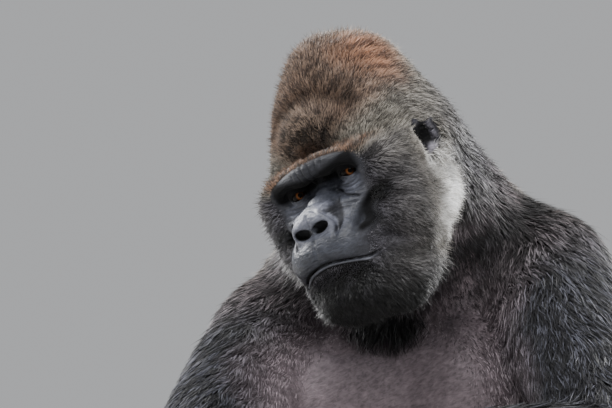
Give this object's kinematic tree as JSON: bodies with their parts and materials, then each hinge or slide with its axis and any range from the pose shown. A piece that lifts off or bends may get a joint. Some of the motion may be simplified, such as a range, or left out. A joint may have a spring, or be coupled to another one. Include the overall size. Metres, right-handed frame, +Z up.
{
  "type": "seated silverback gorilla",
  "caption": "Life-size still model of a seated male western lowland gorilla, knees drawn up, forearms crossed on the knees, head turned and tipped.",
  "frame": {"origin": "middle of the flat under the rump, on the floor", "axes": "+Z up, the chest faces -Y, the animal's left side is +X"},
  "size_m": [0.6641, 0.8581, 1.056],
  "materials": {
    "black_coat": "long charcoal-black hair, silver-grey on the back",
    "grey_coat": "short hair, reddish brown on the crown, grizzled grey on the cheeks and nape",
    "bare_skin": "bare blue-black skin, softly glossy",
    "eye": "wet, amber-brown iris in a dark ball"
  },
  "bodies": {
    "root": {"head": "grey_coat", "neck": "grey_coat", "trunk": "black_coat", "ear_left": "bare_skin", "ear_right": "bare_skin", "eye_left": "eye", "eye_right": "eye", "upper_arm_left": "black_coat", "upper_arm_right": "black_coat", "forearm_left": "black_coat", "forearm_right": "black_coat", "hand_left": "bare_skin", "hand_right": "bare_skin", "thigh_left": "black_coat", "thigh_right": "black_coat", "shank_left": "black_coat", "shank_right": "black_coat", "foot_left": "bare_skin", "foot_right": "bare_skin"}
  },
  "joints": []
}
